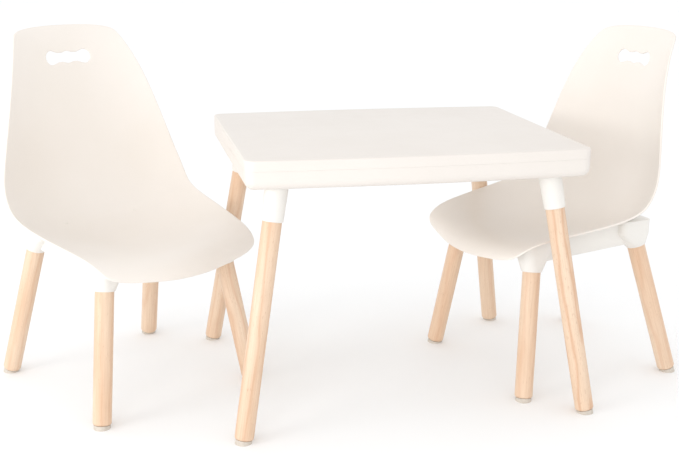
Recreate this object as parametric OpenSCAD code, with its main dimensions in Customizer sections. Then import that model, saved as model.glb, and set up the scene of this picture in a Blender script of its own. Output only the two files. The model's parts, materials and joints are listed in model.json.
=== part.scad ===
// Toddler table with two bucket chairs: moulded ivory plastic on round wooden legs.
// Units are millimetres, +Z is up and the floor is Z = 0.
// Every chair piece is drawn in the chair's own frame, whose origin is on the floor
// at the centre of its four feet, with the sitter looking along -Y.

/* [Table] */
// Height of the table surface above the floor
table_h = 480; // [390:1:600]
// Length of the table top along X, at the middle of its sides
top_l = 597; // [480:0.5:730]
// Depth of the table top along Y, at the middle of its sides
top_d = 500; // [400:1:610]
// Height of the rim
rim_h = 50; // [42:1:64]
// Radius of the rounded corners in plan
corner_r = 18; // [18:1:70]
// How far each long side bows outwards between its corners
side_bow = 10; // [3:0.5:14]
// How far each short side bows outwards between its corners
end_bow = 1.5; // [0.5:0.5:14]
// Radius of the soft edge round the table surface
top_edge_r = 3; // [1:0.5:5]
// Radius of the rolled lower edge of the rim
low_edge_r = 16; // [8:1:20]
// Wall thickness of the table mouldings
top_wall = 3.6; // [3:0.2:6]
// Depth of the cover, from the surface down to its joint with the tray
cover_h = 18; // [12:1:22]
// Thickness of the stiffening ribs inside the top
rib_t = 2.4; // [1.6:0.2:4]
// How far the leg axes stand inside the short sides at the tray's underside
table_hip_in_x = 59.5; // [50:0.5:110]
// How far the leg axes stand inside the long sides at the tray's underside
table_hip_in_y = 56; // [50:0.5:100]
// How far the table feet stand outside the upper ends of the legs, along X
table_splay_x = 70; // [10:1:100]
// How far the table feet stand outside the upper ends of the legs, along Y
table_splay_y = 57; // [10:1:90]
// Visible length of the table collars
table_collar_l = 60; // [50:1:90]

/* [Legs] */
// Diameter of every wooden leg
leg_d = 33; // [27:0.5:40]
// Radius of the rounded edge at the foot of a leg
leg_round = 4.5; // [1:0.5:7]
// Depth of the leg inside a table collar
table_leg_in = 44; // [30:1:48]
// Depth of the leg inside a chair socket
chair_leg_in = 26; // [18:1:30]
// Wall of a collar or socket at its lower end
collar_wall = 2; // [1.5:0.1:4]
// Extra radius of a table collar at its upper end
collar_flare = 2; // [0.5:0.5:6]
// Radial clearance of a leg in its collar or socket
leg_fit = 0.15; // [0.05:0.05:0.3]
// Gap left under the lowest edge of the wood, filled by the glide
glide_gap = 2.4; // [1.5:0.1:5]
// How much narrower the glide is than the leg, all round
glide_inset = 2; // [1:0.5:5]

/* [Chair frame] */
// Height of the seat surface at its lowest point, above the floor
seat_h = 280; // [230:1:340]
// How far the front feet stand outside the sockets
front_splay = 36; // [0:1:60]
// How far the rear feet stand outside the sockets
rear_splay = 30; // [0:1:60]
// Distance of the feet ahead of and behind the chair's centre
foot_y = 171; // [140:1:200]
// How far the leg axes stand inside the shell's widest point where the wood enters the sockets
socket_in = 65; // [49:1:89]
// Distance of the front sockets ahead of the chair's centre, at the same place
front_socket_y = 143; // [120:1:155]
// Distance of the rear sockets behind the chair's centre, at the same place
rear_socket_y = 93; // [80:1:105]
// Depth of the front sockets' lower ends below the seat surface
front_socket_drop = 45; // [38:1:55]
// Depth of the rear sockets' lower ends below the seat surface
rear_socket_drop = 20; // [14:1:30]
// Height of the frame's highest point above the seat surface
frame_rise = 32; // [24:1:40]
// Width of a socket's upper end along X
socket_top_w = 54; // [40:1:70]
// Length of a socket's upper end along Y
socket_top_l = 66; // [46:1:84]
// Thickness of the side rails
rail_t = 22; // [14:1:30]
// Depth of a side rail's lower edge below the seat surface at the chair's centre
rail_drop = 20; // [14:1:26]
// Width of the two cross bars
bar_w = 30; // [22:1:40]
// Thickness of the two cross bars
bar_t = 12; // [8:1:16]

/* [Chair shell] */
// Thickness of the moulded shell
shell_t = 4; // [3:0.5:6]
// Reach of the seat's front lip ahead of the chair's centre
lip_reach = 223; // [200:1:260]
// Depth of the front lip's lower edge below the seat surface
lip_drop = 28; // [15:1:40]
// Reach of the seat-to-back bend behind the chair's centre
bend_reach = 149; // [130:1:175]
// Reach of the backrest's top edge behind the chair's centre
top_reach = 187; // [160:1:220]
// Height of the backrest's top edge above the seat surface
back_rise = 378; // [320:1:450]
// Overall width of the shell at its widest
shell_w = 388; // [320:1:470]
// Width of the backrest at its top edge
back_top_w = 192; // [150:1:250]
// Rise of the shell's sides above its centre line at the hips
hip_rise = 66; // [40:1:90]
// Height of the handle slot's centre above the seat surface
slot_rise = 319; // [260:1:340]
// Length of the handle slot
slot_l = 94; // [70:1:110]
// Radius of the slot's end lobes
slot_lobe_r = 13; // [10:0.5:16]
// Radius of the slot's middle lobe
slot_mid_r = 11; // [9:0.5:14]
// Height of the slot's necks between the lobes
slot_neck_h = 17; // [12:1:20]

/* [Fasteners] */
// Diameter of the hanger bolts in the leg tops
bolt_d = 8; // [6:1:10]
// Length of a hanger bolt inside the leg
bolt_in_leg = 32; // [24:1:45]
// Outer diameter of the threaded inserts and tee nuts
insert_d = 12; // [10:0.5:14]
// Length of a threaded insert
insert_l = 12; // [8:1:16]
// Diameter of the tee nuts' flanges
tee_flange_d = 22; // [18:1:28]
// Shank diameter of the assembly screws
screw_d = 4; // [3:0.5:5]
// Head diameter of the assembly screws
screw_head_d = 8; // [6:0.5:10]
// Head height of the assembly screws
screw_head_h = 2.6; // [2:0.2:4]
// Diameter of the screw bosses
boss_d = 12; // [9:0.5:16]
// Height of the screw bosses under the seat
seat_boss_h = 10; // [8:0.5:14]
// Radial clearance of bolts, inserts and screws in their holes
screw_fit = 0.05; // [0.02:0.01:0.1]
// Gap between parts that are screwed face to face
face_gap = 0.1; // [0.05:0.05:0.3]

/* [Layout] */
// Place of the table's centre, along X
table_x = 80; // [50:1:100]
// Place of the table's centre, along Y
table_y = -32; // [-60:1:0]
// How far the left chair's centre stands outside the table's end
left_out = 189.5; // [171.5:0.5:400]
// Left chair's place from the table's centre, along Y
left_y = 86; // [0:1:200]
// Left chair's turn about the vertical
left_turn = 31; // [20:1:45]
// How far the right chair's centre stands beyond the table legs where its seat just fits
// between them, along X
right_out = 67.3; // [67.3:0.1:330]
// Right chair's place from the table's centre, along Y
right_y = 17; // [-30:1:60]
// Right chair's turn about the vertical
right_turn = -77.5; // [-90:0.5:-70]

/* [Hidden] */
$fn = 64;
ivory = [0.95, 0.93, 0.89];
ivory_frame = [0.97, 0.96, 0.94];
beech = [0.93, 0.78, 0.62];
grey_pad = [0.62, 0.61, 0.59];
zinc = [0.75, 0.76, 0.78];
brass = [0.80, 0.66, 0.36];

leg_r = leg_d / 2;
SIDES = [["front_left", -1, -1], ["front_right", 1, -1], ["back_left", -1, 1], ["back_right", 1, 1]];

// ---------- general helpers ----------

function unit(v) = v / norm(v);
function lean(a, b) = acos(unit(b - a).z);

// Turn of round parts about their own axis, so that no seam lies in their plane of tilt.
seam_turn = 40;

// Turns round children that are drawn along +Z so that they start at a and point to b.
module along(a, b) {
    d = b - a;
    translate(a)
        rotate([0, acos(d.z / norm(d)), atan2(d.y, d.x)])
            rotate(seam_turn)
                children();
}

// Closed solid through rings with equal point counts, from its underside to its upper side.
module loft(rings) {
    n = len(rings[0]);
    m = len(rings);
    polyhedron(
        points = [for (ring = rings) for (p = ring) p],
        faces = concat(
            [[for (k = [0:n - 1]) k]],
            [for (i = [0:m - 2]) for (k = [0:n - 1])
                [i * n + k, (i + 1) * n + k, (i + 1) * n + (k + 1) % n, i * n + (k + 1) % n]],
            [[for (k = [n - 1:-1:0]) (m - 1) * n + k]]),
        convexity = 6);
}

// ---------- table top ----------

under_z = table_h - rim_h;
joint_z = table_h - cover_h;
joint_gap = 0.4;
tongue_h = 4;
tongue_gap = 0.2;
corner_steps = 10;
side_steps = 10;
edge_steps = 8;

// The plan is eight arcs: four shallow sides and four corners tangent to them.
side_rx = (pow(top_d / 2, 2) + pow(end_bow, 2)) / (2 * end_bow);
side_ry = (pow(top_l / 2, 2) + pow(side_bow, 2)) / (2 * side_bow);
right_c = [top_l / 2 - side_rx, 0];
back_c = [0, top_d / 2 - side_ry];
// The corner's centre lies where the two sides' concentric arcs cross.
span = norm(back_c - right_c);
reach_a = side_rx - corner_r;
reach_b = side_ry - corner_r;
foot_len = (reach_a * reach_a - reach_b * reach_b + span * span) / (2 * span);
toward = unit(back_c - right_c);
corner_c = right_c + foot_len * toward
    + sqrt(reach_a * reach_a - foot_len * foot_len) * [-toward.y, toward.x];
a_side = atan2(corner_c.y, corner_c.x - right_c.x);
a_back = atan2(corner_c.y - back_c.y, corner_c.x);
PLAN_ARCS = [
    [right_c, side_rx, -a_side, a_side, side_steps],
    [corner_c, corner_r, a_side, a_back, corner_steps],
    [back_c, side_ry, a_back, 180 - a_back, side_steps],
    [[-corner_c.x, corner_c.y], corner_r, 180 - a_back, 180 - a_side, corner_steps],
    [-right_c, side_rx, 180 - a_side, 180 + a_side, side_steps],
    [-corner_c, corner_r, 180 + a_side, 180 + a_back, corner_steps],
    [-back_c, side_ry, 180 + a_back, 360 - a_back, side_steps],
    [[corner_c.x, -corner_c.y], corner_r, 360 - a_back, 360 - a_side, corner_steps]
];

// One level of the table's outline, moved inwards by inset.
function plan_ring(inset, z) = [
    for (arc = PLAN_ARCS) for (i = [0:arc[4] - 1])
        let (a = arc[2] + (arc[3] - arc[2]) * i / arc[4])
            [arc[0].x + (arc[1] - inset) * cos(a), arc[0].y + (arc[1] - inset) * sin(a), z]];

// Quarter-round edge of radius r from the vertical side up to the flat face at height z.
function upper_edge(r, z) = [
    for (i = [0:edge_steps])
        let (a = 90 * i / edge_steps)
            plan_ring(r * (1 - cos(a)), z - r * (1 - sin(a)))];

// Quarter-round edge of radius r from the flat face at height z up to the vertical side.
function lower_edge(r, z) = [
    for (i = [0:edge_steps])
        let (a = 90 * i / edge_steps)
            plan_ring(r * (1 - sin(a)), z + r * (1 - cos(a)))];

table_hip_x = top_l / 2 - table_hip_in_x;
table_hip_y = top_d / 2 - table_hip_in_y;
function table_hip(side) = [side[1] * table_hip_x, side[2] * table_hip_y, under_z];
function table_foot(side) =
    [side[1] * (table_hip_x + table_splay_x), side[2] * (table_hip_y + table_splay_y), 0];
// Point on a table leg's axis at height z.
function table_axis(side, z) =
    table_foot(side) + (table_hip(side) - table_foot(side)) * z / under_z;
collar_z = under_z - table_collar_l;
table_tilt = lean(table_foot(SIDES[3]), table_hip(SIDES[3]));
pad_h = 22;
pad_r = tee_flange_d / 2 + 7;

// Cover bosses and their screws stand on a three by three grid.
cover_boss_x = table_hip_x - 46;
cover_boss_y = table_hip_y - 46;
COVER_BOSSES = [for (i = [-1:1]) for (j = [-1:1]) [i * cover_boss_x, j * cover_boss_y]];
cover_screw_l = 22;

module rib_grid(z0, z1, inset) {
    l = top_l - 2 * inset;
    d = top_d - 2 * inset;
    for (i = [-2:2])
        translate([i * cover_boss_x / 2 - rib_t / 2, -d / 2, z0])
            cube([rib_t, d, z1 - z0]);
    for (j = [-2:2])
        translate([-l / 2, j * cover_boss_y / 2 - rib_t / 2, z0])
            cube([l, rib_t, z1 - z0]);
}

module table_cover() {
    color(ivory)
        difference() {
            union() {
                loft(concat(
                    [plan_ring(top_wall, table_h - top_wall),
                     plan_ring(top_wall, joint_z + tongue_h + tongue_gap),
                     plan_ring(top_wall / 2, joint_z + tongue_h + tongue_gap),
                     plan_ring(top_wall / 2, joint_z + joint_gap),
                     plan_ring(0, joint_z + joint_gap)],
                    upper_edge(top_edge_r, table_h)));
                rib_grid(table_h - top_wall - 6, table_h - top_wall / 2, low_edge_r + side_bow);
                for (at = COVER_BOSSES)
                    translate([at.x, at.y, under_z + top_wall + face_gap])
                        cylinder(d = boss_d, h = rim_h - 1.5 * top_wall);
            }
            for (at = COVER_BOSSES)
                translate([at.x, at.y, under_z])
                    cylinder(r = screw_d / 2 + screw_fit, h = top_wall + cover_screw_l);
        }
}

module table_tray() {
    color(ivory)
        difference() {
            union() {
                loft(concat(
                    lower_edge(low_edge_r, under_z),
                    [plan_ring(0, joint_z),
                     plan_ring(top_wall / 2 + tongue_gap, joint_z),
                     plan_ring(top_wall / 2 + tongue_gap, joint_z + tongue_h),
                     plan_ring(top_wall, joint_z + tongue_h),
                     plan_ring(top_wall, under_z + low_edge_r),
                     plan_ring(top_wall + low_edge_r / 4, under_z + top_wall + low_edge_r / 4),
                     plan_ring(low_edge_r, under_z + top_wall)]));
                difference() {
                    rib_grid(under_z + top_wall / 2, under_z + top_wall + 14, low_edge_r + side_bow);
                    for (at = COVER_BOSSES)
                        translate([at.x, at.y, under_z + top_wall])
                            cylinder(d = boss_d + 4, h = rim_h);
                }
                for (side = SIDES)
                    intersection() {
                        along(table_axis(side, collar_z), table_hip(side))
                            cylinder(r = pad_r, h = table_collar_l / cos(table_tilt) + pad_h);
                        translate([-top_l / 2, -top_d / 2, under_z + top_wall / 2])
                            cube([top_l, top_d, rim_h]);
                    }
            }
            for (side = SIDES)
                along(table_axis(side, collar_z), table_hip(side)) {
                    cylinder(r = bolt_d / 2 + 0.6, h = table_collar_l * 2);
                    translate([0, 0, table_collar_l / cos(table_tilt) + pad_h - insert_l])
                        cylinder(r = insert_d / 2 + screw_fit, h = table_collar_l);
                }
            for (at = COVER_BOSSES)
                translate([at.x, at.y, under_z - 1]) {
                    cylinder(r = screw_d / 2 + 0.3, h = rim_h / 2);
                    cylinder(r = screw_head_d / 2 + 0.4, h = 1 + top_wall - 1.4);
                }
        }
}

// ---------- legs, collars and their fasteners ----------

// Distance along a leg's axis from the floor to the end of the wood.
function wood_start(tilt) = (glide_gap + leg_r * sin(tilt)) / cos(tilt);

// Wooden leg from its foot point a towards b, with its upper end l away from a.
module leg(a, b, l) {
    s = wood_start(lean(a, b));
    color(beech)
        along(a, b)
            difference() {
                rotate_extrude()
                    polygon(concat(
                        [[0, s]],
                        [for (i = [0:4])
                            let (t = 90 * i / 4)
                                [leg_r - leg_round * (1 - sin(t)), s + leg_round * (1 - cos(t))]],
                        [[leg_r, l], [0, l]]));
                translate([0, 0, l - bolt_in_leg])
                    cylinder(r = bolt_d / 2 + screw_fit, h = bolt_in_leg + 1);
            }
}

// Floor glide under the leg that stands at a and leans towards b.
module glide(a, b) {
    s = wood_start(lean(a, b));
    color(grey_pad)
        difference() {
            along(a, b)
                translate([0, 0, -leg_r])
                    cylinder(r = leg_r - glide_inset, h = leg_r + s - face_gap / 2);
            translate([a.x - leg_d, a.y - leg_d, -2 * leg_d])
                cube(2 * leg_d);
        }
}

// Hanger bolt: l_out stands out of the leg's upper end at distance l from a.
module hanger_bolt(a, b, l, l_out) {
    color(zinc)
        along(a, b)
            translate([0, 0, l - bolt_in_leg + face_gap])
                union() {
                    cylinder(r1 = bolt_d / 4, r2 = bolt_d / 2, h = bolt_d / 2);
                    translate([0, 0, bolt_d / 2])
                        cylinder(d = bolt_d, h = bolt_in_leg + l_out - face_gap - bolt_d / 2);
                }
}

module ring_solid(r_in, r_out, h) {
    difference() {
        cylinder(r = r_out, h = h);
        translate([0, 0, -1])
            cylinder(r = r_in, h = h + 2);
    }
}

// Cross-head screw that points up from the underside of its head.
module screw(l) {
    difference() {
        union() {
            cylinder(r1 = screw_head_d / 2 - 0.6, r2 = screw_head_d / 2, h = screw_head_h);
            translate([0, 0, screw_head_h / 2])
                cylinder(d = screw_d, h = l + screw_head_h / 2);
        }
        for (turn = [0, 90])
            rotate(turn)
                translate([-screw_head_d / 4, -0.5, -1])
                    cube([screw_head_d / 2, 1, 2.4]);
    }
}

table_leg_l = norm(table_axis(SIDES[3], collar_z) - table_foot(SIDES[3])) + table_leg_in;
table_bolt_out = table_collar_l / cos(table_tilt) - table_leg_in + pad_h - 1;

module table_collar(side) {
    r0 = leg_r + leg_fit + collar_wall;
    l = table_collar_l / cos(table_tilt);
    low = table_axis(side, collar_z);
    color(ivory_frame)
        difference() {
            along(low, table_hip(side))
                difference() {
                    rotate_extrude()
                        polygon([
                            [0, 0], [r0 - 1, 0], [r0, 1],
                            [r0 + collar_flare, l + leg_r], [0, l + leg_r]]);
                    translate([0, 0, -1])
                        cylinder(r = leg_r + leg_fit, h = table_leg_in + face_gap + 1);
                    cylinder(r = bolt_d / 2 + 0.3, h = l + leg_d);
                }
            translate([low.x - 2 * leg_d, low.y - 2 * leg_d, under_z - face_gap])
                cube([4 * leg_d, 4 * leg_d, 2 * leg_d]);
        }
}

module table_leg(side) {
    leg(table_foot(side), table_hip(side), table_leg_l);
}

module table_leg_bolts() {
    for (side = SIDES)
        hanger_bolt(table_foot(side), table_hip(side), table_leg_l, table_bolt_out);
}

module table_tee_nuts() {
    flange_t = 2;
    l = norm(table_hip(SIDES[3]) - table_foot(SIDES[3])) + pad_h;
    color(zinc)
        for (side = SIDES)
            along(table_foot(side), table_hip(side)) {
                translate([0, 0, l - insert_l + face_gap])
                    ring_solid(bolt_d / 2 + screw_fit, insert_d / 2, insert_l);
                translate([0, 0, l + face_gap])
                    ring_solid(bolt_d / 2 + screw_fit, tee_flange_d / 2, flange_t);
            }
}

module table_cover_screws() {
    color(zinc)
        for (at = COVER_BOSSES)
            translate([at.x, at.y, under_z + top_wall - 1.4 - screw_head_h - face_gap])
                screw(cover_screw_l - 4);
}

// ---------- chair shell ----------

// Control rows of the shell from front lip to top edge: [y, z above the seat surface,
// half width, rise of the sides above the centre line].
hip_w = shell_w / 2;
socket_x = hip_w - socket_in;
SHELL_ROWS = [
    [-lip_reach, -lip_drop, hip_w - 52, -lip_drop],
    [8 - lip_reach, 11, hip_w - 33, -2],
    [108 - lip_reach, 6, hip_w - 15, 0.38 * hip_rise],
    [-4, -1, hip_w, 0.71 * hip_rise],
    [bend_reach - 53, 11, hip_w - 2, 0.92 * hip_rise],
    [bend_reach, 0.255 * back_rise, hip_w - 1, hip_rise],
    [bend_reach - 3, 0.545 * back_rise, (hip_w + back_top_w / 2) / 2 + 18, 0.75 * hip_rise],
    [0.75 * bend_reach + 0.25 * top_reach, 0.89 * back_rise, back_top_w / 2 + 26, 0.36 * hip_rise],
    [top_reach, back_rise, back_top_w / 2, 5]
];
SPANS = len(SHELL_ROWS) - 3;
side_power = 2.2;
lip_round = 0.47;
lip_power = 2.2;
top_round = 0.16;
top_power = 2.4;
shell_rows_n = 40;
shell_cols_n = 22;

// Cubic spline through the control rows, t from 0 at the lip to SPANS at the top.
function knot(i) = min(max(i - 3, 0), SPANS);
function pull(t, s, j, r) = r == 0 ? SHELL_ROWS[s - 3 + j] :
    let (a = (t - knot(j + s - 3)) / (knot(j + 1 + s - r) - knot(j + s - 3)))
        (1 - a) * pull(t, s, j - 1, r - 1) + a * pull(t, s, j, r - 1);
function shell_row(t) = pull(t, min(floor(t), SPANS - 1) + 3, 3, 3);

// Point on the shell's upper face, t along the centre line and v from -1 to 1 across it.
function shell_point(t, v) =
    let (here = shell_row(t),
         step = shell_row(min(t + 0.01, SPANS)) - shell_row(max(t - 0.01, 0)),
         run = norm([step[0], step[1]]),
         lift = here[3] * pow(abs(v), side_power))
        [here[2] * v, here[0] - lift * step[1] / run, seat_h + here[1] + lift * step[0] / run];

// Superellipse that pulls the ends of the outer columns back, which rounds the corners.
function pull_back(v, depth, power) = depth * (1 - pow(1 - pow(abs(v), power), 1 / power));
function shell_grid_point(i, j) =
    let (q = 2 * j / shell_cols_n - 1,
         v = sign(q) * (1 - pow(1 - abs(q), 1.8)),
         t0 = pull_back(v, lip_round, lip_power),
         t1 = SPANS - pull_back(v, top_round, top_power))
        shell_point(t0 + (t1 - t0) * i / shell_rows_n, v);
function shell_grid() = [
    for (i = [0:shell_rows_n]) [for (j = [0:shell_cols_n]) shell_grid_point(i, j)]];

// Upward and forward normal of a grid, from its neighbours.
function grid_normal(grid, i, j) =
    let (i0 = max(i - 1, 0), i1 = min(i + 1, shell_rows_n),
         j0 = max(j - 1, 0), j1 = min(j + 1, shell_cols_n))
        unit(cross(grid[i][j1] - grid[i][j0], grid[i1][j] - grid[i0][j]));

// The face that lies depth below a grid, up to its row number last.
function grid_below(grid, depth, last) = [
    for (i = [0:last]) [for (j = [0:shell_cols_n])
        grid[i][j] - depth * grid_normal(grid, i, j)]];

// Solid between two grids with equal rows and columns, the first above the second.
module sheet_solid(upper, lower) {
    n = len(upper);
    m = len(upper[0]);
    size = n * m;
    edge = concat(
        [for (j = [0:m - 2]) j],
        [for (i = [0:n - 2]) i * m + m - 1],
        [for (j = [m - 1:-1:1]) (n - 1) * m + j],
        [for (i = [n - 1:-1:1]) i * m]);
    polyhedron(
        points = concat([for (row = upper) for (p = row) p], [for (row = lower) for (p = row) p]),
        faces = concat(
            [for (i = [0:n - 2]) for (j = [0:m - 2]) for (half = [0, 1])
                let (a = i * m + j)
                    half == 0 ? [a, a + m, a + m + 1] : [a, a + m + 1, a + 1]],
            [for (i = [0:n - 2]) for (j = [0:m - 2]) for (half = [0, 1])
                let (a = size + i * m + j)
                    half == 0 ? [a, a + m + 1, a + m] : [a, a + 1, a + m + 1]],
            [for (k = [0:len(edge) - 1]) for (half = [0, 1])
                let (a = edge[k], b = edge[(k + 1) % len(edge)])
                    half == 0 ? [a, b, b + size] : [a, b + size, a + size]]),
        convexity = 8);
}

// Everything above the shell's underside: cut from the frame so that it seats the shell.
frame_cut_rows = 26;
module above_shell() {
    lower = grid_below(shell_grid(), shell_t + face_gap, frame_cut_rows);
    sheet_solid([for (row = lower) [for (p = row) p + [0, -70, 120]]], lower);
}

// Screw bosses under the seat, set on the shell itself.
boss_front_t = 1.25;
boss_rear_t = 2.9;
boss_x = socket_x - socket_top_w / 2 - boss_d / 2 - 20;
BOSSES = [for (t = [boss_front_t, boss_rear_t]) for (s = [-1, 1])
    shell_point(t, s * boss_x / shell_row(t)[2])];
// Height of the upper face of the cross bar under a boss.
function bar_top(at) = at.z - shell_t - seat_boss_h;
shell_screw_l = bar_t + seat_boss_h - screw_head_h - 3.4;

module handle_slot() {
    lobe_x = slot_l / 2 - slot_lobe_r;
    translate([0, bend_reach - 80, seat_h + slot_rise])
        rotate([-90, 0, 0])
            linear_extrude(160) {
                circle(r = slot_mid_r);
                for (s = [-1, 1])
                    translate([s * lobe_x, 0])
                        circle(r = slot_lobe_r);
                square([2 * lobe_x, slot_neck_h], center = true);
            }
}

module shell() {
    grid = shell_grid();
    color(ivory)
        difference() {
            union() {
                sheet_solid(grid, grid_below(grid, shell_t, shell_rows_n));
                for (at = BOSSES)
                    translate([at.x, at.y, bar_top(at) + face_gap])
                        cylinder(d = boss_d, h = seat_boss_h + shell_t / 2 - face_gap);
            }
            handle_slot();
            for (at = BOSSES)
                translate([at.x, at.y, bar_top(at) - 1])
                    cylinder(r = screw_d / 2 + screw_fit, h = seat_boss_h - 1);
        }
}

// ---------- chair frame and legs ----------

function chair_foot(side) =
    [side[1] * (socket_x + (side[2] < 0 ? front_splay : rear_splay)), side[2] * foot_y, 0];
function chair_socket(side) = [
    side[1] * socket_x,
    side[2] < 0 ? -front_socket_y : rear_socket_y,
    seat_h - (side[2] < 0 ? front_socket_drop : rear_socket_drop)];
function chair_leg_l(side) = norm(chair_socket(side) - chair_foot(side)) + chair_leg_in;
chair_web = 14;

// Flared block that holds the upper end of one leg.
module socket(side) {
    low = chair_socket(side);
    dir = unit(low - chair_foot(side));
    top = low + dir * (seat_h + frame_rise - low.z) / dir.z;
    round_r = 12;
    hull() {
        along(low, low + dir)
            cylinder(r = leg_r + leg_fit + collar_wall, h = 1.5, $fn = 32);
        for (sx = [-1, 1])
            for (sy = [-1, 1])
                translate([
                    top.x + sx * (socket_top_w / 2 - round_r),
                    top.y + sy * (socket_top_l / 2 - round_r),
                    seat_h + frame_rise - 26])
                    cylinder(r = round_r, h = 26, $fn = 32);
    }
}

module side_rail(sx) {
    front = -front_socket_y;
    rear = rear_socket_y;
    slope = (front_socket_drop - rear_socket_drop) / (front_socket_y + rear_socket_y) * 0.6;
    translate([sx * (socket_x - rail_t / 2 + 5) - rail_t / 2, 0, 0])
        rotate([90, 0, 90])
            linear_extrude(rail_t)
                polygon([
                    [front, seat_h - rail_drop + slope * front],
                    [rear, seat_h - rail_drop + slope * rear],
                    [rear, seat_h + frame_rise],
                    [front, seat_h + frame_rise]]);
}

module seat_frame() {
    bar_l = 2 * (socket_x - rail_t / 2);
    color(ivory_frame)
        difference() {
            union() {
                for (side = SIDES)
                    socket(side);
                for (sx = [-1, 1])
                    side_rail(sx);
                for (at = [BOSSES[0], BOSSES[2]])
                    translate([-bar_l / 2, at.y - bar_w / 2, bar_top(at) - bar_t])
                        cube([bar_l, bar_w, bar_t]);
            }
            above_shell();
            for (side = SIDES)
                along(chair_socket(side), 2 * chair_socket(side) - chair_foot(side)) {
                    translate([0, 0, -leg_d])
                        cylinder(r = leg_r + leg_fit, h = leg_d + chair_leg_in + face_gap);
                    cylinder(r = insert_d / 2 + screw_fit, h = chair_leg_in + chair_web);
                }
            for (at = BOSSES)
                translate([at.x, at.y, bar_top(at) - bar_t - 1]) {
                    cylinder(r = screw_d / 2 + 0.3, h = bar_t + 2);
                    cylinder(r = screw_head_d / 2 + 0.4, h = 1 + screw_head_h + 1);
                }
        }
}

module chair_leg(side) {
    leg(chair_foot(side), chair_socket(side), chair_leg_l(side));
}

module chair_leg_bolts() {
    for (side = SIDES)
        hanger_bolt(chair_foot(side), chair_socket(side), chair_leg_l(side), insert_l);
}

module chair_leg_inserts() {
    color(brass)
        for (side = SIDES)
            along(chair_foot(side), chair_socket(side))
                translate([0, 0, chair_leg_l(side) + face_gap])
                    ring_solid(bolt_d / 2 + screw_fit, insert_d / 2, insert_l);
}

module shell_screws() {
    color(zinc)
        for (at = BOSSES)
            translate([at.x, at.y, bar_top(at) - bar_t + 1 - face_gap])
                screw(shell_screw_l);
}

// ---------- the set ----------

module at_table() {
    translate([table_x, table_y, 0])
        children();
}

module at_left() {
    translate([table_x - top_l / 2 - left_out, table_y + left_y, 0])
        rotate(left_turn)
            children();
}

// The right chair reaches in between the table legs, by less where its seat is wider than
// the room between them at the height of the seat's sides.
wing_z = min(seat_h + hip_rise, under_z);
wing_leg_r = leg_r + (wing_z > collar_z ? leg_fit + collar_wall + collar_flare : 0);
leg_room = table_axis(SIDES[3], wing_z).y - wing_leg_r;
right_x = table_hip_x + leg_d + right_out + 2 * max(hip_w - leg_room, 0);

module at_right() {
    translate([table_x + right_x, table_y + right_y, 0])
        rotate(right_turn)
            children();
}

at_table() table_cover();
at_table() table_tray();
at_table() table_leg_bolts();
at_table() table_tee_nuts();
at_table() table_cover_screws();
for (side = SIDES) {
    at_table() table_collar(side);
    at_table() table_leg(side);
    at_table() glide(table_foot(side), table_hip(side));
    at_left() chair_leg(side);
    at_left() glide(chair_foot(side), chair_socket(side));
    at_right() chair_leg(side);
    at_right() glide(chair_foot(side), chair_socket(side));
}
at_left() shell();  // left_chair_shell
at_left() seat_frame();  // left_chair_frame
at_left() chair_leg_bolts();  // left_chair_leg_bolts
at_left() chair_leg_inserts();  // left_chair_leg_inserts
at_left() shell_screws();  // left_chair_shell_screws
at_right() shell();  // right_chair_shell
at_right() seat_frame();  // right_chair_frame
at_right() chair_leg_bolts();  // right_chair_leg_bolts
at_right() chair_leg_inserts();  // right_chair_leg_inserts
at_right() shell_screws();  // right_chair_shell_screws
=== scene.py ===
"""Kids table and chairs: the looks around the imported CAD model. Metres, +Z up, floor at Z = 0.

The wooden legs, glides, collars and fasteners are the CAD's own nodes with detailed materials.
The two bucket shells are rebuilt from the CAD's control rows with rounded edges. The two chair
frames and the two table mouldings are copies of the CAD meshes with softer edges or shading.
"""
import json
import math
import random

import bmesh
import bpy
import numpy as np
from mathutils import Matrix, Vector


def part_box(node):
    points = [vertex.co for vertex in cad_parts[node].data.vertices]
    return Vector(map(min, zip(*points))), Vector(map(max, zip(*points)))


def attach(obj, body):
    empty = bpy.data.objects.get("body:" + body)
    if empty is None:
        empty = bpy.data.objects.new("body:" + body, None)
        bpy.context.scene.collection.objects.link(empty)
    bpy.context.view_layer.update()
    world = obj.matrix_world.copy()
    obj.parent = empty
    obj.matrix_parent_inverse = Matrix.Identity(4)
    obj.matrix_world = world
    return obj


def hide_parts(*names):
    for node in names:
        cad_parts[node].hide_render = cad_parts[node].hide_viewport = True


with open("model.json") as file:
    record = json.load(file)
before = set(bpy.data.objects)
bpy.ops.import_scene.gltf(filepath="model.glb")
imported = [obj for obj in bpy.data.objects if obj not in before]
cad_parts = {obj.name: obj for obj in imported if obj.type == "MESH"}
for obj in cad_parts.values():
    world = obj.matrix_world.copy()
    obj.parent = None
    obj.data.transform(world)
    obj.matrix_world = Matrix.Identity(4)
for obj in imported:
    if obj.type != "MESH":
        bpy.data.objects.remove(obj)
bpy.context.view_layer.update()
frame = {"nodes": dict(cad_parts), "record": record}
RECORD = frame["record"]
MM = 0.001
CORNERS = ("front_left", "front_right", "back_left", "back_right")
CHAIRS = ("left_chair", "right_chair")


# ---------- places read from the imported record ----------

def mount_place(name):
    """Place of a mount of the record."""
    found = [m for m in RECORD["mounts"] if m["name"] == name]
    return Vector(found[0]["pos_m"])


# The floor mount of each chair lies under one front foot: -1 is its left foot, 1 its right.
CONTACT_SIDE = {"left_chair": -1, "right_chair": 1}
FOOT_X = 165 * MM
FOOT_Y = 171 * MM


def chair_axes(chair):
    """A chair's origin on the floor, its sideways direction and its backward direction."""
    joints = RECORD["behaviour"]["joints"]
    back = Vector([j["axis"] for j in joints if j["child"] == chair][0]).normalized()
    side = Vector((back.y, -back.x, 0))
    foot = mount_place(f"{chair}_floor_contact")
    origin = foot - side * CONTACT_SIDE[chair] * FOOT_X + back * FOOT_Y
    return origin, side, back


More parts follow.
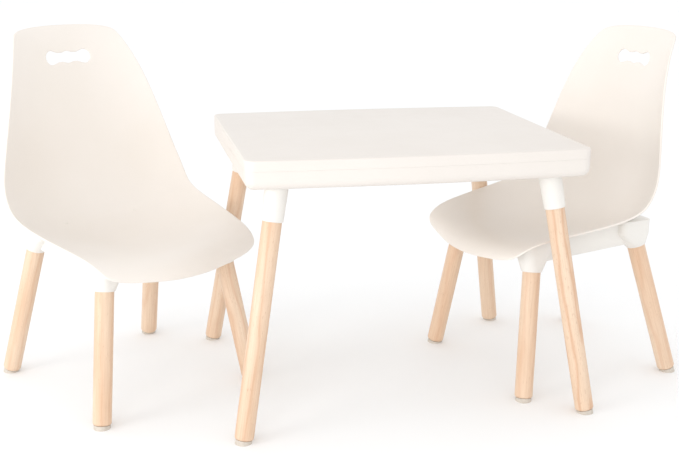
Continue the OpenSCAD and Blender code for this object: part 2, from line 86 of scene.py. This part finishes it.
def centre(node_name):
    """Centre of a CAD node's box."""
    low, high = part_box(node_name)
    return (Vector(low) + Vector(high)) / 2


# ---------- camera, light and floor ----------

# The camera stands left of the table, an adult's arm above it, and looks down on the set.
CAMERA_FROM_TABLE = (-0.513, -1.921, 0.8283)
CAMERA_TURN = math.radians(-12.4)
CAMERA_DOWN = math.radians(15.51)
CAMERA_ROLL = math.radians(0.39)
CAMERA_LENS = 57.75
CAMERA_REACH = 90.0


def build_camera():
    """A camera placed from the centre of the table, turned, tilted and rolled."""
    data = bpy.data.cameras.new("camera")
    data.sensor_width = 36.0
    data.lens = CAMERA_LENS
    data.clip_end = CAMERA_REACH
    camera = bpy.data.objects.new("camera", data)
    bpy.context.collection.objects.link(camera)
    middle = mount_place("table_surface")
    middle.z = 0
    camera.location = middle + Vector(CAMERA_FROM_TABLE)
    turn = Matrix.Rotation(CAMERA_TURN, 4, "Z")
    tilt = Matrix.Rotation(math.pi / 2 - CAMERA_DOWN, 4, "X")
    roll = Matrix.Rotation(CAMERA_ROLL, 4, "Z")
    camera.rotation_euler = (turn @ tilt @ roll).to_euler()
    bpy.context.scene.camera = camera


def area_light(name, place, target, size, power, colour):
    """A rectangular light at place that shines on target."""
    data = bpy.data.lights.new(name, "AREA")
    data.shape = "RECTANGLE"
    data.size, data.size_y = size
    data.energy = power
    data.color = colour
    light = bpy.data.objects.new(name, data)
    bpy.context.collection.objects.link(light)
    light.location = place
    aim = Vector(target) - Vector(place)
    light.rotation_euler = aim.to_track_quat("-Z", "Y").to_euler()


ROOM_STRENGTH = 1.07
KEY_POWER = 20
FILL_POWER = 18


def build_light():
    """A bright white room, a large soft key low beside the camera and a fill from the left."""
    scene = bpy.context.scene
    scene.view_settings.view_transform = "Standard"
    world = bpy.data.worlds.new("studio")
    scene.world = world
    world.use_nodes = True
    background = world.node_tree.nodes["Background"]
    background.inputs["Color"].default_value = (1.0, 1.0, 1.0, 1.0)
    background.inputs["Strength"].default_value = ROOM_STRENGTH
    area_light(
        "key", (-1.5, -3.0, 1.15), (0, 0, 0.35), (1.6, 1.2), KEY_POWER, (1.0, 0.998, 0.99))
    area_light(
        "fill", (-2.6, -1.1, 0.75), (0.5, 0, 0.4), (1.2, 1.0), FILL_POWER, (1.0, 0.985, 0.965))


FLOOR_HALF = 60.0


def build_floor():
    """A wide plain floor that isn't part of the object."""
    mesh = bpy.data.meshes.new("floor")
    half = FLOOR_HALF
    corners = [(-half, -half, 0), (half, -half, 0), (half, half, 0), (-half, half, 0)]
    mesh.from_pydata(corners, [], [(0, 1, 2, 3)])
    floor = bpy.data.objects.new("floor", mesh)
    bpy.context.collection.objects.link(floor)
    floor.data.materials.append(floor_material())


# ---------- materials ----------

def new_material(name):
    """A material, its node tree and its Principled shader."""
    material = bpy.data.materials.new(name)
    material.use_nodes = True
    tree = material.node_tree
    return material, tree, tree.nodes["Principled BSDF"]


def node(tree, kind, **values):
    """A new shader node; values are set on its inputs or, failing that, its attributes."""
    made = tree.nodes.new(kind)
    for key, value in values.items():
        if key in made.inputs:
            made.inputs[key].default_value = value
        else:
            setattr(made, key, value)
    return made


def ramp(tree, source, stops):
    """A colour ramp over source with (position, colour) stops."""
    made = tree.nodes.new("ShaderNodeValToRGB")
    points = made.color_ramp.elements
    while len(points) < len(stops):
        points.new(0.5)
    for point, (place, colour) in zip(points, stops):
        point.position = place
        point.color = colour if len(colour) == 4 else (*colour, 1.0)
    tree.links.new(source, made.inputs["Fac"])
    return made.outputs["Color"]


def spread(tree, source, low, high):
    """Maps source from 0..1 to low..high."""
    made = tree.nodes.new("ShaderNodeMapRange")
    made.inputs["To Min"].default_value = low
    made.inputs["To Max"].default_value = high
    tree.links.new(source, made.inputs["Value"])
    return made.outputs["Result"]


def mixed(tree, blend, share, first, second):
    """Two colours mixed; share is a number or a socket."""
    made = tree.nodes.new("ShaderNodeMix")
    made.data_type = "RGBA"
    made.blend_type = blend
    if isinstance(share, float):
        made.inputs[0].default_value = share
    else:
        tree.links.new(share, made.inputs[0])
    for socket, value in ((made.inputs[6], first), (made.inputs[7], second)):
        if isinstance(value, tuple):
            socket.default_value = (*value, 1.0)
        else:
            tree.links.new(value, socket)
    return made.outputs[2]


def floor_material():
    """Matt, slightly cool white with a slow, faint unevenness."""
    material, tree, shader = new_material("floor_white")
    coords = node(tree, "ShaderNodeTexCoord")
    noise = node(tree, "ShaderNodeTexNoise", Scale=3.0, Detail=4.0)
    tree.links.new(coords.outputs["Object"], noise.inputs["Vector"])
    colour = ramp(tree, noise.outputs["Fac"], [
        (0.3, (0.935, 0.944, 0.953)), (0.7, (0.945, 0.954, 0.963))])
    tree.links.new(colour, shader.inputs["Base Color"])
    shader.inputs["Roughness"].default_value = 0.8
    shader.inputs["Specular IOR Level"].default_value = 0.2
    return material


def moulded_plastic(name, light, dark, roughness):
    """Satin polypropylene: faint flow mottling, a fine spark-eroded texture and soft scuffs."""
    material, tree, shader = new_material(name)
    link = tree.links.new
    coords = node(tree, "ShaderNodeTexCoord").outputs["Object"]
    flow = node(tree, "ShaderNodeTexNoise", Scale=5.0, Detail=3.0, Roughness=0.5)
    grain = node(tree, "ShaderNodeTexNoise", Scale=1300.0, Detail=2.0, Roughness=0.6)
    smudge = node(tree, "ShaderNodeTexNoise", Scale=38.0, Detail=5.0, Roughness=0.65)
    for texture in (flow, grain, smudge):
        link(coords, texture.inputs["Vector"])
    tone = ramp(tree, flow.outputs["Fac"], [(0.35, dark), (0.65, light)])
    specks = ramp(tree, grain.outputs["Fac"], [(0.38, (0.965, 0.96, 0.95)), (0.62, (1.0, 1.0, 1.0))])
    link(mixed(tree, "MULTIPLY", 0.6, tone, specks), shader.inputs["Base Color"])
    gloss = spread(tree, smudge.outputs["Fac"], roughness - 0.07, roughness + 0.09)
    link(gloss, shader.inputs["Roughness"])
    bump = node(tree, "ShaderNodeBump", Strength=0.16, Distance=0.0002)
    link(grain.outputs["Fac"], bump.inputs["Height"])
    link(bump.outputs["Normal"], shader.inputs["Normal"])
    shader.inputs["IOR"].default_value = 1.49
    return material


PALE_WOOD = (0.80, 0.625, 0.475)
WARM_WOOD = (0.755, 0.535, 0.375)
RING_WOOD = (0.66, 0.40, 0.25)
FLECK_WOOD = (0.52, 0.31, 0.19)


def beech(name, low, high, seed, figure):
    """Lacquered beech turned along the axis low-high: growth rings, fibres and ray flecks.

    The figure, from 0 to 1, is how boldly the rings and flecks are drawn.
    """
    material, tree, shader = new_material(name)
    link = tree.links.new
    dice = random.Random(seed)
    axis = (high - low).normalized()
    turn = axis.to_track_quat("Z", "Y").to_matrix().to_4x4()
    spin = Matrix.Rotation(dice.uniform(0, 6.28), 4, "Z")
    to_leg = (Matrix.Translation(low) @ turn @ spin).inverted()
    coords = node(tree, "ShaderNodeTexCoord").outputs["Object"]
    place = node(tree, "ShaderNodeMapping")
    place.inputs["Location"].default_value = to_leg.to_translation()
    place.inputs["Rotation"].default_value = to_leg.to_euler()
    link(coords, place.inputs["Vector"])
    local = place.outputs["Vector"]

    def stretched(scale, shift=(0, 0, 0)):
        made = node(tree, "ShaderNodeMapping")
        made.inputs["Scale"].default_value = scale
        made.inputs["Location"].default_value = shift
        link(local, made.inputs["Vector"])
        return made.outputs["Vector"]

    # Growth rings: the distance from a pith that lies outside the leg, bent by slow noise.
    shift = (dice.uniform(0.5, 0.9), dice.uniform(-0.3, 0.3), dice.uniform(0, 9))
    rings = node(tree, "ShaderNodeTexWave", Scale=1.0, Distortion=8.0, Detail=3.0)
    rings.wave_type = "RINGS"
    rings.rings_direction = "Z"
    rings.inputs["Detail Scale"].default_value = 0.7
    rings.inputs["Detail Roughness"].default_value = 0.45
    link(stretched((19, 19, 5.5), shift), rings.inputs["Vector"])
    fibre = node(tree, "ShaderNodeTexNoise", Scale=1.0, Detail=6.0, Roughness=0.6)
    link(stretched((620, 620, 14), (seed, 0, 0)), fibre.inputs["Vector"])
    fleck = node(tree, "ShaderNodeTexNoise", Scale=1.0, Detail=2.0, Roughness=0.5)
    link(stretched((900, 900, 120), (0, seed, 0)), fleck.inputs["Vector"])
    patch = node(tree, "ShaderNodeTexNoise", Scale=1.0, Detail=2.0, Roughness=0.5)
    link(stretched((16, 16, 3.5), (0, 0, seed)), patch.inputs["Vector"])

    ground = ramp(tree, patch.outputs["Fac"], [(0.32, WARM_WOOD), (0.58, PALE_WOOD)])
    band = ramp(tree, rings.outputs["Fac"], [
        (0.35, (0, 0, 0)), (0.8, (0.2 * figure,) * 3), (1.0, (0.75 * figure,) * 3)])
    toned = mixed(tree, "MIX", band, ground, RING_WOOD)
    streak = ramp(tree, fibre.outputs["Fac"], [(0.3, (0.86, 0.80, 0.74)), (0.62, (1.0, 1.0, 1.0))])
    fibred = mixed(tree, "MULTIPLY", 0.8, toned, streak)
    dots = ramp(tree, fleck.outputs["Fac"], [
        (0.66 - 0.06 * figure, (0, 0, 0)), (0.74, (0.3 + 0.4 * figure,) * 3)])
    link(mixed(tree, "MIX", dots, fibred, FLECK_WOOD), shader.inputs["Base Color"])
    link(spread(tree, fibre.outputs["Fac"], 0.42, 0.6), shader.inputs["Roughness"])
    bump = node(tree, "ShaderNodeBump", Strength=0.2, Distance=0.0003)
    link(fibre.outputs["Fac"], bump.inputs["Height"])
    link(bump.outputs["Normal"], shader.inputs["Normal"])
    shader.inputs["Coat Weight"].default_value = 0.15
    shader.inputs["Coat Roughness"].default_value = 0.3
    return material


# How boldly each leg's grain is drawn.
PLAIN_FIGURE = 0.45
BOLD_LEGS = {
    "table_leg_front_right": 1.0,
    "table_leg_front_left": 0.7,
    "left_chair_leg_front_right": 0.65}
FIRST_SEED = 11
SEED_STEP = 7


def hard_plastic(name, light, dark):
    """Milky glide plastic: scuffed and dusty, with a rough moulded face."""
    material, tree, shader = new_material(name)
    link = tree.links.new
    coords = node(tree, "ShaderNodeTexCoord").outputs["Object"]
    dust = node(tree, "ShaderNodeTexNoise", Scale=160.0, Detail=6.0, Roughness=0.7)
    link(coords, dust.inputs["Vector"])
    link(ramp(tree, dust.outputs["Fac"], [(0.35, dark), (0.65, light)]), shader.inputs["Base Color"])
    link(spread(tree, dust.outputs["Fac"], 0.5, 0.75), shader.inputs["Roughness"])
    bump = node(tree, "ShaderNodeBump", Strength=0.25, Distance=0.0003)
    link(dust.outputs["Fac"], bump.inputs["Height"])
    link(bump.outputs["Normal"], shader.inputs["Normal"])
    return material


def plated_metal(name, light, dark, roughness):
    """Plated or turned metal: cloudy tone, fine scratches and varied gloss."""
    material, tree, shader = new_material(name)
    link = tree.links.new
    coords = node(tree, "ShaderNodeTexCoord").outputs["Object"]
    cloud = node(tree, "ShaderNodeTexNoise", Scale=220.0, Detail=4.0, Roughness=0.6)
    scratch = node(tree, "ShaderNodeTexNoise", Scale=1800.0, Detail=3.0, Roughness=0.7)
    link(coords, cloud.inputs["Vector"])
    link(coords, scratch.inputs["Vector"])
    link(ramp(tree, cloud.outputs["Fac"], [(0.3, dark), (0.7, light)]), shader.inputs["Base Color"])
    gloss = spread(tree, cloud.outputs["Fac"], roughness - 0.08, roughness + 0.12)
    link(gloss, shader.inputs["Roughness"])
    bump = node(tree, "ShaderNodeBump", Strength=0.15, Distance=0.0001)
    link(scratch.outputs["Fac"], bump.inputs["Height"])
    link(bump.outputs["Normal"], shader.inputs["Normal"])
    shader.inputs["Metallic"].default_value = 1.0
    return material


def dress_nodes():
    """Gives the CAD nodes that stay their materials."""
    glide = hard_plastic("glide_milky", (0.66, 0.60, 0.53), (0.54, 0.485, 0.42))
    zinc = plated_metal("zinc_plate", (0.74, 0.75, 0.77), (0.6, 0.61, 0.64), 0.34)
    brass = plated_metal("brass_turned", (0.80, 0.62, 0.32), (0.66, 0.49, 0.23), 0.3)
    for name, obj in frame["nodes"].items():
        if "_leg_" in name and name.split("_leg_")[1] in CORNERS:
            owner, corner = name.split("_leg_")
            low = centre(f"{owner}_glide_{corner}")
            low.z = 0
            high = leg_top(name, low)
            seed = FIRST_SEED + SEED_STEP * sorted(frame["nodes"]).index(name)
            look = beech(f"beech_{name}", low, high, seed, BOLD_LEGS.get(name, PLAIN_FIGURE))
        elif "_glide_" in name:
            look = glide
        elif "inserts" in name:
            look = brass
        elif "bolts" in name or "nuts" in name or "screws" in name:
            look = zinc
        elif "collar" in name:
            look = WHITE
        else:
            continue
        for slot in obj.material_slots:
            slot.material = look


END_DEPTH = 4 * MM


def leg_top(name, low):
    """Centre of a leg's upper end, from the points of its mesh that lie farthest from its foot."""
    points = [v.co.copy() for v in frame["nodes"][name].data.vertices]
    far = max((p - low).length for p in points)
    top = [p for p in points if (p - low).length > far - END_DEPTH]
    box_low = Vector([min(p[i] for p in top) for i in range(3)])
    box_high = Vector([max(p[i] for p in top) for i in range(3)])
    return (box_low + box_high) / 2


# ---------- pieces ----------

def add_piece(name, mesh, body, material, slot_name, *nodes):
    """Links a finished mesh as a piece that rides a body and replaces CAD nodes."""
    mesh.materials.clear()
    mesh.materials.append(material)
    piece = bpy.data.objects.new(name, mesh)
    bpy.context.collection.objects.link(piece)
    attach(piece, body)
    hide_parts(*nodes)
    return piece


def smooth_by_angle(mesh, degrees):
    """Smooth faces with sharp edges where two faces meet at more than the angle."""
    bm = bmesh.new()
    bm.from_mesh(mesh)
    limit = math.radians(degrees)
    for face in bm.faces:
        face.smooth = True
    for edge in bm.edges:
        edge.smooth = len(edge.link_faces) == 2 and edge.calc_face_angle(0) < limit
    bm.to_mesh(mesh)
    bm.free()


# The joint between the table's two mouldings: its depth, its width in the CAD and here.
COVER_H = 18 * MM
SEAM_GAP = 0.4 * MM
SEAM_LEFT = 0.12 * MM
SEAM_FIND = 0.1 * MM


def close_seam(mesh):
    """Lowers the lid's lower edge so that the joint in the rim shows as a hairline."""
    edge_z = mount_place("table_surface").z - COVER_H + SEAM_GAP
    for vertex in mesh.vertices:
        if abs(vertex.co.z - edge_z) < SEAM_FIND:
            vertex.co.z -= SEAM_GAP - SEAM_LEFT
    return mesh


WELD = 0.01 * MM
FLAT_ANGLE = math.radians(0.6)
SHADE_ANGLE = 34


def softened_copy(node_name, name, width, degrees):
    """A copy of a CAD mesh with its flat faces merged and smooth shading.

    Edges sharper than the angle in degrees are rounded by width, unless width is 0.
    """
    mesh = frame["nodes"][node_name].data.copy()
    mesh.name = name
    bm = bmesh.new()
    bm.from_mesh(mesh)
    bmesh.ops.remove_doubles(bm, verts=bm.verts, dist=WELD)
    bmesh.ops.dissolve_limit(bm, angle_limit=FLAT_ANGLE, verts=bm.verts, edges=bm.edges)
    sharp = [e for e in bm.edges
             if len(e.link_faces) == 2 and e.calc_face_angle(0) > math.radians(degrees)]
    if width:
        bmesh.ops.bevel(
            bm, geom=sharp, offset=width, offset_type="OFFSET", segments=2,
            profile=0.5, affect="EDGES", clamp_overlap=True)
    bmesh.ops.triangulate(bm, faces=[f for f in bm.faces if len(f.verts) > 4])
    bm.to_mesh(mesh)
    bm.free()
    smooth_by_angle(mesh, SHADE_ANGLE)
    return mesh


# ---------- bucket shell ----------

# Sizes of the shell in millimetres, as in the CAD.
SEAT_H = 280
SHELL_T = 4
LIP_REACH = 223
LIP_DROP = 28
BEND_REACH = 149
TOP_REACH = 187
BACK_RISE = 378
HIP_W = 194
BACK_TOP_W = 192
HIP_RISE = 66
SLOT_RISE = 319
SLOT_L = 94
SLOT_LOBE_R = 13
SLOT_MID_R = 11
SLOT_NECK_H = 17
SLOT_SOFT = 3.5
SIDE_POWER = 2.2
LIP_ROUND = 0.47
LIP_POWER = 2.2
TOP_ROUND = 0.16
TOP_POWER = 2.4
BOSS_X = 76
BOSS_T = (1.25, 2.9)
BOSS_H = 10
BOSS_D = 12
SCREW_R = 2.05
# Control rows: y, z above the seat, half width, rise of the sides.
SHELL_ROWS = np.array([
    [-LIP_REACH, -LIP_DROP, HIP_W - 52, -LIP_DROP],
    [8 - LIP_REACH, 11, HIP_W - 33, -2],
    [108 - LIP_REACH, 6, HIP_W - 15, 0.38 * HIP_RISE],
    [-4, -1, HIP_W, 0.71 * HIP_RISE],
    [BEND_REACH - 53, 11, HIP_W - 2, 0.92 * HIP_RISE],
    [BEND_REACH, 0.255 * BACK_RISE, HIP_W - 1, HIP_RISE],
    [BEND_REACH - 3, 0.545 * BACK_RISE, (HIP_W + BACK_TOP_W / 2) / 2 + 18, 0.75 * HIP_RISE],
    [0.75 * BEND_REACH + 0.25 * TOP_REACH, 0.89 * BACK_RISE, BACK_TOP_W / 2 + 26, 0.36 * HIP_RISE],
    [TOP_REACH, BACK_RISE, BACK_TOP_W / 2, 5]])
SPANS = len(SHELL_ROWS) - 3


def knot(i):
    """Value of the clamped knot i."""
    return min(max(i - 3, 0), SPANS)


def spline_row(t):
    """Cubic spline through the control rows, t from 0 at the lip to SPANS at the top."""
    s = min(int(math.floor(t)), SPANS - 1) + 3
    rows = [SHELL_ROWS[s - 3 + j] for j in range(4)]
    for r in range(1, 4):
        for j in range(3, r - 1, -1):
            low = knot(j + s - 3)
            a = (t - low) / (knot(j + 1 + s - r) - low)
            rows[j] = (1 - a) * rows[j - 1] + a * rows[j]
    return rows[3]


# The spline worked out once at close steps, for interpolation.
TABLE_T = np.linspace(0, SPANS, 3001)
TABLE_ROWS = np.array([spline_row(t) for t in TABLE_T])


def shell_rows(t):
    """The spline's values for an array of t."""
    t = np.clip(t, 0, SPANS)
    return np.stack([np.interp(t, TABLE_T, TABLE_ROWS[:, k]) for k in range(4)], -1)


def shell_points(t, v):
    """Points on the shell's upper face, in the chair's own frame, for arrays t and v."""
    t = np.clip(t, 0, SPANS)
    here = shell_rows(t)
    step = shell_rows(t + 0.01) - shell_rows(t - 0.01)
    run = np.hypot(step[..., 0], step[..., 1])
    lift = here[..., 3] * np.abs(v) ** SIDE_POWER
    return np.stack([
        here[..., 2] * v,
        here[..., 0] - lift * step[..., 1] / run,
        SEAT_H + here[..., 1] + lift * step[..., 0] / run], -1)


def shell_normals(t, v):
    """Unit normals of the upper face, upwards and forwards."""
    dt = shell_points(t + 0.004, v) - shell_points(t - 0.004, v)
    dv = shell_points(t, v + 0.002) - shell_points(t, v - 0.002)
    n = np.cross(dv, dt)
    return n / np.linalg.norm(n, axis=-1, keepdims=True)


def pull_back(v, depth, power):
    """How far the outline is drawn in at v, from 0 at the middle to depth at the sides."""
    inner = np.clip(1 - np.abs(v) ** power, 0, 1)
    return depth * (1 - inner ** (1 / power))


def on_shell(x, z):
    """The t and v whose upper-face point has the given x and z, on the backrest."""
    t = np.full_like(x, 4.6)
    v = np.zeros_like(x)
    for _ in range(30):
        v = x / shell_rows(t)[..., 2]
        error = z - shell_points(t, v)[..., 2]
        slope = (shell_points(t + 0.01, v)[..., 2] - shell_points(t - 0.01, v)[..., 2]) / 0.02
        t = t + error / slope
    return t, v


def soft_min(a, b):
    """Union of two distances with a soft inner corner."""
    blend = np.clip(SLOT_SOFT - np.abs(a - b), 0, None) / SLOT_SOFT
    return np.minimum(a, b) - blend * blend * SLOT_SOFT / 4


def slot_distance(x, z):
    """Signed distance in the backrest's front view from the three-lobed slot, soft at its necks."""
    lobe = SLOT_L / 2 - SLOT_LOBE_R
    ends = np.hypot(np.abs(x) - lobe, z) - SLOT_LOBE_R
    middle = np.hypot(x, z) - SLOT_MID_R
    neck = np.maximum(np.abs(z) - SLOT_NECK_H / 2, np.abs(x) - lobe)
    return soft_min(soft_min(ends, middle), neck)


def slot_outline(count, grow):
    """Outline of the slot, grown by grow, as x and z at count equal steps of its length."""
    angle = np.linspace(0, 2 * math.pi, 1441)
    low = np.zeros_like(angle)
    high = np.full_like(angle, SLOT_L)
    for _ in range(40):
        middle = (low + high) / 2
        inside = slot_distance(middle * np.cos(angle), middle * np.sin(angle)) < grow
        low = np.where(inside, middle, low)
        high = np.where(inside, high, middle)
    x = low * np.cos(angle)
    z = low * np.sin(angle)
    length = np.concatenate([[0], np.cumsum(np.hypot(np.diff(x), np.diff(z)))])
    at = np.linspace(0, length[-1], count, endpoint=False)
    return np.interp(at, length, x), np.interp(at, length, z)


# Fineness of the shell's mesh, the fillet of its slot and the block of cells round the slot.
GRID_ROWS = 132
GRID_COLS = 84
RIM_STEPS = 6
FILLET = 1.2
SLOT_ROWS = 4
SLOT_MARGIN_X = 12
SLOT_MARGIN_Z = 11
SLOT_STRETCH = 2.2
BOSS_STEPS = 32
EDGE_ANGLE = 50
FRAME_BEVEL = 1.2 * MM
FRAME_ANGLE = 40
TOP_ANGLE = 34


class ShellMesh:
    """Collects paired points on the two faces of the shell and the quads between them."""

    def __init__(self):
        """Starts with no points and no quads."""
        self.points = []
        self.quads = []

    def add(self, point):
        """Adds one point and returns its index."""
        self.points.append(point)
        return len(self.points) - 1

    def faces(self, t, v, upper_depth=0.0, lower_depth=float(SHELL_T)):
        """Adds the upper and the lower point at every t and v; returns their indices."""
        p = shell_points(t, v).reshape(-1, 3)
        n = shell_normals(t, v).reshape(-1, 3)
        upper = [self.add(a - upper_depth * b) for a, b in zip(p, n)]
        lower = [self.add(a - lower_depth * b) for a, b in zip(p, n)]
        return upper, lower

    def ring_strip(self, inner, outer, flip):
        """Joins two closed rings of points with quads."""
        count = len(inner)
        for k in range(count):
            quad = (inner[k], outer[k], outer[(k + 1) % count], inner[(k + 1) % count])
            self.quads.append(quad[::-1] if flip else quad)


def shell_parameters():
    """The fine grid's t and v, inset by half the thickness for the rounded rim."""
    q = np.linspace(-1, 1, GRID_COLS + 1)
    v = np.sign(q) * (1 - (1 - np.abs(q)) ** 1.5)
    t0 = pull_back(v, LIP_ROUND, LIP_POWER)
    t1 = SPANS - pull_back(v, TOP_ROUND, TOP_POWER)
    share = np.linspace(0, 1, GRID_ROWS + 1)[:, None]
    t = t0 + (t1 - t0) * share
    v = np.broadcast_to(v, t.shape).copy()
    half = SHELL_T / 2
    inner = t[[0, -1]] + np.array([[0.02], [-0.02]])
    gone = shell_points(inner, v[[0, -1]]) - shell_points(t[[0, -1]], v[[0, -1]])
    ends = np.linalg.norm(gone, axis=-1) / 0.02
    t = (t0 + half / ends[0]) + (t1 - half / ends[1] - t0 - half / ends[0]) * share
    sides = np.linalg.norm(shell_points(t, v) - shell_points(t, v * 0.98), axis=-1) / 0.02
    across = np.abs(v) * np.maximum(sides / np.maximum(np.abs(v), 0.05), 60)
    v = v * (1 - half / np.maximum(across, 60) * np.abs(v))
    return t, v


def slot_patch(mesh, t, v, upper, lower):
    """Fills the block of cells round the slot with rings that run out to the slot's edge."""
    p = shell_points(t, v)
    zc = SEAT_H + SLOT_RISE
    mid = GRID_COLS // 2
    rows = np.where(np.abs(p[:, mid, 2] - zc) < SLOT_LOBE_R + SLOT_MARGIN_Z)[0]
    middle = (rows[0] + rows[-1]) // 2
    cols = np.where(np.abs(p[middle, :, 0]) < SLOT_L / 2 + SLOT_MARGIN_X)[0]
    i0, i1, j0, j1 = rows[0], rows[-1], cols[0], cols[-1]
    loop = [(i, j1) for i in range(middle, i1)]
    loop += [(i1, j) for j in range(j1, j0, -1)]
    loop += [(i, j0) for i in range(i1, i0, -1)]
    loop += [(i0, j) for j in range(j0, j1)]
    loop += [(i, j1) for i in range(i0, middle)]
    border = np.array([p[i, j] for i, j in loop])
    bx, bz = border[:, 0], border[:, 2] - zc
    count = len(loop)
    ox, oz = slot_outline(count * 8, FILLET)
    # Match each border point to the outline point in its direction, then even them out.
    border_turn = np.unwrap(np.arctan2(bz * SLOT_STRETCH, bx))
    outline_turn = np.unwrap(np.arctan2(oz * SLOT_STRETCH, ox))
    start = border_turn[0]
    border_turn = border_turn - start
    outline_turn = outline_turn - start
    fine = np.concatenate([outline_turn - 2 * math.pi, outline_turn, outline_turn + 2 * math.pi])
    sx = np.interp(border_turn, fine, np.tile(ox, 3))
    sz = np.interp(border_turn, fine, np.tile(oz, 3))
    last_up = [upper[i * (GRID_COLS + 1) + j] for i, j in loop]
    last_low = [lower[i * (GRID_COLS + 1) + j] for i, j in loop]
    for k in range(1, SLOT_ROWS + 1):
        a = k / SLOT_ROWS
        rt, rv = on_shell(bx + (sx - bx) * a, bz + (sz - bz) * a + zc)
        ring_up, ring_low = mesh.faces(rt, rv)
        mesh.ring_strip(ring_up, last_up, False)
        mesh.ring_strip(ring_low, last_low, True)
        last_up, last_low = ring_up, ring_low
    # Round the two edges of the slot and line its wall.
    centre_x = np.clip(sx, -(SLOT_L / 2 - SLOT_LOBE_R), SLOT_L / 2 - SLOT_LOBE_R)
    inward = np.stack([centre_x - sx, -sz], -1)
    inward /= np.maximum(np.linalg.norm(inward, axis=-1, keepdims=True), 1e-6)
    rings = []
    for step in range(1, 4):
        a = step * math.pi / 6
        rings.append((FILLET * math.sin(a), FILLET * (1 - math.cos(a))))
    depths = rings + [(r[0], SHELL_T - r[1]) for r in rings[::-1]]
    for shift, depth in depths:
        rt, rv = on_shell(sx + inward[:, 0] * shift, sz + inward[:, 1] * shift + zc)
        pts = shell_points(rt, rv) - depth * shell_normals(rt, rv)
        ring = [mesh.add(q) for q in pts]
        mesh.ring_strip(ring, last_up, False)
        last_up = ring
    mesh.ring_strip(last_low, last_up, False)
    return i0, i1, j0, j1


def shell_rim(mesh, t, v, upper, lower):
    """Half-round rim from the upper face's border to the lower face's."""
    width = GRID_COLS + 1
    loop = [(0, j) for j in range(GRID_COLS)]
    loop += [(i, GRID_COLS) for i in range(GRID_ROWS)]
    loop += [(GRID_ROWS, j) for j in range(GRID_COLS, 0, -1)]
    loop += [(i, 0) for i in range(GRID_ROWS, 0, -1)]
    p = np.array([shell_points(t[i, j], v[i, j]) for i, j in loop])
    n = np.array([shell_normals(t[i, j], v[i, j]) for i, j in loop])
    along = np.roll(p, -1, 0) - np.roll(p, 1, 0)
    out = np.cross(along, n)
    out /= np.linalg.norm(out, axis=-1, keepdims=True)
    half = SHELL_T / 2
    last = [upper[i * width + j] for i, j in loop]
    for step in range(1, RIM_STEPS):
        a = math.pi * step / RIM_STEPS
        ring = [mesh.add(q) for q in p - half * n + half * (math.cos(a) * n + math.sin(a) * out)]
        mesh.ring_strip(last, ring, False)
        last = ring
    mesh.ring_strip(last, [lower[i * width + j] for i, j in loop], False)


def boss(mesh, x, t):
    """Hollow screw boss under the seat, with a small chamfer round its lower end."""
    v = x / shell_rows(np.array(t))[..., 2]
    at = shell_points(np.array(t), v)
    low = at[2] - SHELL_T - BOSS_H + 0.1
    top = at[2] - SHELL_T / 2
    profile = [
        (SCREW_R, low + 0.4), (SCREW_R + 0.4, low), (BOSS_D / 2 - 0.6, low),
        (BOSS_D / 2, low + 0.6), (BOSS_D / 2, top), (SCREW_R, top)]
    turn = [2 * math.pi * k / BOSS_STEPS for k in range(BOSS_STEPS)]
    rings = []
    for radius, z in profile:
        circle = [(at[0] + radius * math.cos(a), at[1] + radius * math.sin(a), z) for a in turn]
        rings.append([mesh.add(np.array(point)) for point in circle])
    for ring, after in zip(rings, rings[1:] + rings[:1]):
        mesh.ring_strip(ring, after, False)


def build_shell(chair):
    """The bucket seat as one smooth moulding with a rounded rim and a rounded handle slot."""
    mesh = ShellMesh()
    t, v = shell_parameters()
    upper, lower = mesh.faces(t, v)
    i0, i1, j0, j1 = slot_patch(mesh, t, v, upper, lower)
    width = GRID_COLS + 1
    for i in range(GRID_ROWS):
        for j in range(GRID_COLS):
            if i0 <= i < i1 and j0 <= j < j1:
                continue
            a = i * width + j
            quad = (a, a + 1, a + width + 1, a + width)
            mesh.quads.append(tuple(upper[k] for k in quad))
            mesh.quads.append(tuple(lower[k] for k in quad[::-1]))
    shell_rim(mesh, t, v, upper, lower)
    for end in BOSS_T:
        for x in (-BOSS_X, BOSS_X):
            boss(mesh, x, end)
    origin, side, back = chair_axes(chair)
    p = np.array(mesh.points) * MM
    world = (np.array(origin) + p[:, :1] * np.array(side) + p[:, 1:2] * np.array(back)
             + p[:, 2:] * np.array((0, 0, 1)))
    data = bpy.data.meshes.new(f"{chair}_bucket")
    data.from_pydata(world.tolist(), [], mesh.quads)
    bm = bmesh.new()
    bm.from_mesh(data)
    loose = [v for v in bm.verts if not v.link_faces]
    bmesh.ops.delete(bm, geom=loose, context="VERTS")
    bmesh.ops.recalc_face_normals(bm, faces=bm.faces)
    bm.to_mesh(data)
    bm.free()
    smooth_by_angle(data, EDGE_ANGLE)
    return add_piece(f"{chair}_bucket", data, chair, IVORY, "ivory_plastic", f"{chair}_shell")


# ---------- run ----------

build_camera()
build_light()
build_floor()

IVORY = moulded_plastic("ivory_plastic_look", (0.842, 0.793, 0.745), (0.822, 0.77, 0.715), 0.42)
TOP_IVORY = moulded_plastic("table_plastic_look", (0.775, 0.73, 0.688), (0.755, 0.708, 0.663), 0.38)
WHITE = moulded_plastic("white_plastic_look", (0.815, 0.795, 0.76), (0.80, 0.778, 0.74), 0.4)
dress_nodes()
for chair in CHAIRS:
    build_shell(chair)
    underframe = softened_copy(
        f"{chair}_frame", f"{chair}_underframe", FRAME_BEVEL, FRAME_ANGLE)
    add_piece(
        f"{chair}_underframe", underframe, chair, WHITE, "white_plastic", f"{chair}_frame")
lid = close_seam(softened_copy("table_cover", "table_top_lid", 0, TOP_ANGLE))
add_piece("table_top_lid", lid, "table", TOP_IVORY, "ivory_plastic", "table_cover")
tub = softened_copy("table_tray", "table_top_tub", 0, TOP_ANGLE)
add_piece("table_top_tub", tub, "table", TOP_IVORY, "ivory_plastic", "table_tray")
